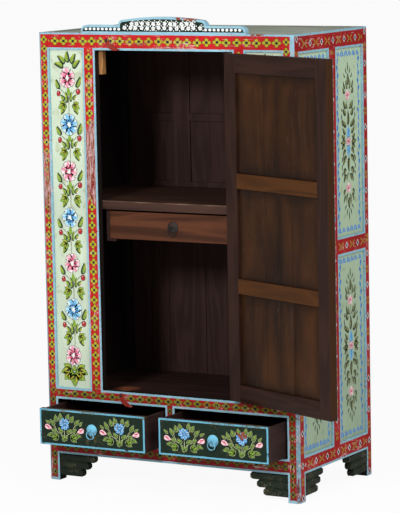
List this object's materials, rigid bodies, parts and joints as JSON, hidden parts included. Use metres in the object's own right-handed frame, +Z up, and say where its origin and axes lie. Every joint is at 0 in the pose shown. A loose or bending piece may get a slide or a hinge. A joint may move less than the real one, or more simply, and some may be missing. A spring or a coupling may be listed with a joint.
{
  "type": "painted cabinet",
  "caption": "Painted panelled cupboard with a central door, fixed side panels, a shelf with an inner drawer, drawers below, a shaped crest and stepped feet.",
  "frame": {"origin": "on the floor, under the middle of the carcass frame between its four posts", "axes": "+X to the right and +Y to the back as seen from the front, +Z up"},
  "size_m": [1.1992, 0.757, 1.5529],
  "materials": {
    "red_painted_frame": "worn painted wood, red with pale blue edges",
    "mint_painted_panel": "worn painted wood, pale mint",
    "dark_green_painted": "worn painted wood, dark green",
    "red_painted_hook": "worn painted wood, red",
    "brown_wood": "brown stained wood with open grain",
    "dark_wood": "dark stained wood",
    "pale_wood": "bare wood",
    "weathered_wood": "weathered unpainted wood",
    "dark_iron": "forged iron",
    "pale_blue_iron": "iron painted pale blue"
  },
  "bodies": {
    "carcass": {"back_boards": "dark_wood", "back_frame": "dark_wood", "back_left_post": "red_painted_frame", "back_panels": "dark_wood", "back_right_post": "red_painted_frame", "cleats": "dark_wood", "crest": "dark_green_painted", "door_stop": "pale_wood", "drawer_divider": "red_painted_frame", "drawer_runners": "dark_wood", "floor_boards": "dark_wood", "foot_brackets": "dark_green_painted", "frame_hinge_leaves": "dark_iron", "front_bottom_rail": "red_painted_frame", "front_left_panel": "mint_painted_panel", "front_left_post": "red_painted_frame", "front_middle_rail": "red_painted_frame", "front_right_panel": "mint_painted_panel", "front_right_post": "red_painted_frame", "front_top_rail": "red_painted_frame", "hinge_pins": "dark_iron", "hook_nails": "dark_iron", "inner_drawer_runners": "brown_wood", "left_mullion": "red_painted_frame", "left_side_panels": "mint_painted_panel", "left_side_rails": "red_painted_frame", "left_side_stile": "red_painted_frame", "right_mullion": "red_painted_frame", "right_side_panels": "mint_painted_panel", "right_side_rails": "red_painted_frame", "right_side_stile": "red_painted_frame", "shelf_boards": "brown_wood", "top_boards": "weathered_wood"},
    "door": {"door_free_stile": "red_painted_frame", "door_hinge_stile": "red_painted_frame", "door_rails": "red_painted_frame", "door_panels": "red_painted_frame", "door_hinge_leaves": "dark_iron", "door_pull_rosette": "dark_iron"},
    "door_ring": {"door_pull_ring": "dark_iron"},
    "top_turn_hook": {"top_hook": "red_painted_hook"},
    "bottom_turn_hook": {"bottom_hook": "red_painted_hook"},
    "left_drawer": {"left_drawer_front": "dark_green_painted", "left_drawer_sides": "brown_wood", "left_drawer_back": "brown_wood", "left_drawer_bottom": "brown_wood", "left_drawer_pull_rosette": "pale_blue_iron"},
    "left_drawer_ring": {"left_drawer_pull_ring": "pale_blue_iron"},
    "right_drawer": {"right_drawer_front": "dark_green_painted", "right_drawer_sides": "brown_wood", "right_drawer_back": "brown_wood", "right_drawer_bottom": "brown_wood", "right_drawer_pull_rosette": "pale_blue_iron"},
    "right_drawer_ring": {"right_drawer_pull_ring": "pale_blue_iron"},
    "inner_drawer": {"inner_drawer_front": "brown_wood", "inner_drawer_sides": "brown_wood", "inner_drawer_back": "brown_wood", "inner_drawer_bottom": "brown_wood", "inner_drawer_pull_rosette": "dark_iron"},
    "inner_drawer_ring": {"inner_drawer_pull_ring": "dark_iron"}
  },
  "joints": [
    {"name": "door_swing", "type": "hinge", "parent": "carcass", "child": "door", "pos_m": [0.2557, -0.2669, 0.881], "axis": [0, 0, 1], "range_deg": [-157, 13]},
    {"name": "left_drawer_slide", "type": "slide", "parent": "carcass", "child": "left_drawer", "axis": [0, -1, 0], "range_m": [-0.124, 0.2]},
    {"name": "right_drawer_slide", "type": "slide", "parent": "carcass", "child": "right_drawer", "axis": [0, -1, 0], "range_m": [-0.115, 0.209]},
    {"name": "inner_drawer_slide", "type": "slide", "parent": "carcass", "child": "inner_drawer", "axis": [0, -1, 0], "range_m": [0, 0.26]},
    {"name": "top_hook_turn", "type": "hinge", "parent": "carcass", "child": "top_turn_hook", "pos_m": [-0.207, -0.266, 1.476], "axis": [0, -1, 0], "range_deg": [-45, 60]},
    {"name": "bottom_hook_turn", "type": "hinge", "parent": "carcass", "child": "bottom_turn_hook", "pos_m": [-0.184, -0.266, 0.3065], "axis": [0, -1, 0], "range_deg": [-38, 142]},
    {"name": "door_ring_swing", "type": "hinge", "parent": "door", "child": "door_ring", "pos_m": [0.70261, -0.44943, 0.963], "axis": [0.9205, -0.3907, 0], "range_deg": [0, 95]},
    {"name": "left_drawer_ring_swing", "type": "hinge", "parent": "left_drawer", "child": "left_drawer_ring", "pos_m": [-0.2255, -0.3975, 0.207], "axis": [-1, 0, 0], "range_deg": [0, 95]},
    {"name": "right_drawer_ring_swing", "type": "hinge", "parent": "right_drawer", "child": "right_drawer_ring", "pos_m": [0.2255, -0.3885, 0.207], "axis": [-1, 0, 0], "range_deg": [0, 95]},
    {"name": "inner_drawer_ring_swing", "type": "hinge", "parent": "inner_drawer", "child": "inner_drawer_ring", "pos_m": [0, -0.229, 0.8665], "axis": [-1, 0, 0], "range_deg": [0, 95]}
  ]
}
